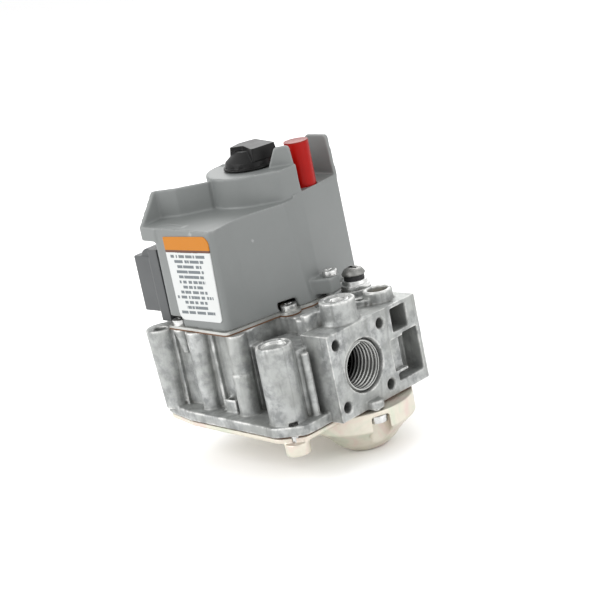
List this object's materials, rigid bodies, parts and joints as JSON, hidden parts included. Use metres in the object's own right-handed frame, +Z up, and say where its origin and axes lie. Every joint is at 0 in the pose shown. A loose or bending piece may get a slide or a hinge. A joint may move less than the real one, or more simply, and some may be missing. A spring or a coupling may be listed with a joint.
{
  "type": "combination gas valve",
  "caption": "Cast gas valve with threaded pipe ports, a grey moulded operator cover, black turn knob, red push button, terminal block and domed bottom cover.",
  "frame": {"origin": "centre of the outlet port's mouth, in the plane of the outlet face", "axes": "+X out of the outlet along the port axis, +Y across the outlet face towards the thermocouple side, +Z up towards the knob"},
  "size_m": [0.1042, 0.0914, 0.1204],
  "materials": {
    "cast_aluminium": "as die cast, mottled, matt",
    "chromated_cover": "zinc plated with yellow chromate, iridescent",
    "cover_plastic": "mid grey moulded nylon, fine texture",
    "label_film": "printed film with an amber band",
    "terminal_plastic": "dark grey moulded",
    "tinned_brass": "tin plated",
    "fibre_gasket": "brown pressed fibre",
    "zinc_plate": "zinc plated sheet",
    "zinc_screw": "bright zinc plated",
    "knob_plastic": "black moulded, satin",
    "button_plastic": "red moulded, semi gloss",
    "brass_parts": "turned",
    "steel_parts": "turned",
    "spring_steel": "drawn wire",
    "nitrile_rubber": "moulded, matt",
    "copper_wire": "enamelled winding"
  },
  "bodies": {
    "chassis": {"operator_cover": "cover_plastic", "info_label": "label_film", "terminal_block": "terminal_plastic", "terminal_tabs": "tinned_brass", "valve_body": "cast_aluminium", "deck_gasket": "fibre_gasket", "operator_plate": "zinc_plate", "foot_gasket": "fibre_gasket", "bottom_cover": "chromated_cover", "foot_screws": "zinc_screw", "plate_screws": "zinc_screw", "lug_screw": "zinc_screw", "reset_spring": "spring_steel", "power_unit": "steel_parts", "thermocouple_nut": "brass_parts", "coil_windings": "copper_wire", "coil_bobbins": "terminal_plastic", "coil_frames": "zinc_plate", "plunger_spring_first": "spring_steel", "plunger_spring_second": "spring_steel", "main_spring": "spring_steel", "main_diaphragm": "nitrile_rubber", "regulator_lid": "zinc_screw", "regulator_seal": "nitrile_rubber", "regulator_spring": "spring_steel", "tap_plug": "steel_parts", "pilot_seat": "brass_parts", "column_plug": "zinc_screw", "inlet_screen": "zinc_plate"},
    "knob": {"control_knob": "knob_plastic", "knob_shaft": "brass_parts", "manual_disc": "brass_parts"},
    "button": {"reset_button": "button_plastic", "reset_stem": "steel_parts"},
    "safety": {"safety_disc": "nitrile_rubber"},
    "servo_first": {"plunger_first": "steel_parts"},
    "servo_second": {"plunger_second": "steel_parts"},
    "main": {"main_valve": "steel_parts", "diaphragm_plate": "zinc_plate"},
    "cap": {"regulator_cap": "zinc_screw"},
    "adjuster": {"regulator_screw": "terminal_plastic"},
    "regulator": {"regulator_piston": "brass_parts"}
  },
  "joints": [
    {"name": "knob_turn", "type": "hinge", "parent": "chassis", "child": "knob", "pos_m": [-0.06, 0.018, 0.074], "axis": [0, 0, 1], "range_deg": [0, 180]},
    {"name": "button_push", "type": "slide", "parent": "chassis", "child": "button", "axis": [0, 0, -1], "range_m": [0, 0.006], "stiffness_N_per_m": 400, "springref_m": -0.005, "deforming": ["reset_spring"]},
    {"name": "safety_lift", "type": "slide", "parent": "chassis", "child": "safety", "axis": [0, 0, -1], "range_m": [0, 0.006]},
    {"name": "servo_first_lift", "type": "slide", "parent": "chassis", "child": "servo_first", "axis": [0, 0, 1], "range_m": [0, 0.0015], "stiffness_N_per_m": 150, "springref_m": -0.003, "deforming": ["plunger_spring_first"]},
    {"name": "servo_second_lift", "type": "slide", "parent": "chassis", "child": "servo_second", "axis": [0, 0, 1], "range_m": [0, 0.0015], "stiffness_N_per_m": 150, "springref_m": -0.003, "deforming": ["plunger_spring_second"]},
    {"name": "main_lift", "type": "slide", "parent": "chassis", "child": "main", "axis": [0, 0, 1], "range_m": [0, 0.003], "stiffness_N_per_m": 200, "springref_m": -0.004, "deforming": ["main_spring", "main_diaphragm"]},
    {"name": "cap_turn", "type": "hinge", "parent": "chassis", "child": "cap", "pos_m": [-0.026, 0.0292, 0.026], "axis": [0, 0, 1], "range_deg": [0, 180]},
    {"name": "adjuster_turn", "type": "hinge", "parent": "chassis", "child": "adjuster", "pos_m": [-0.026, 0.0292, 0.023], "axis": [0, 0, 1], "range_deg": [-360, 360]},
    {"name": "regulator_lift", "type": "slide", "parent": "chassis", "child": "regulator", "axis": [0, 0, 1], "range_m": [0, 0.0012], "stiffness_N_per_m": 200, "springref_m": -0.004, "deforming": ["regulator_spring"]}
  ],
  "couplings": [
    {"joint": "safety_lift", "follows": "button_push", "ratio": 1}
  ]
}
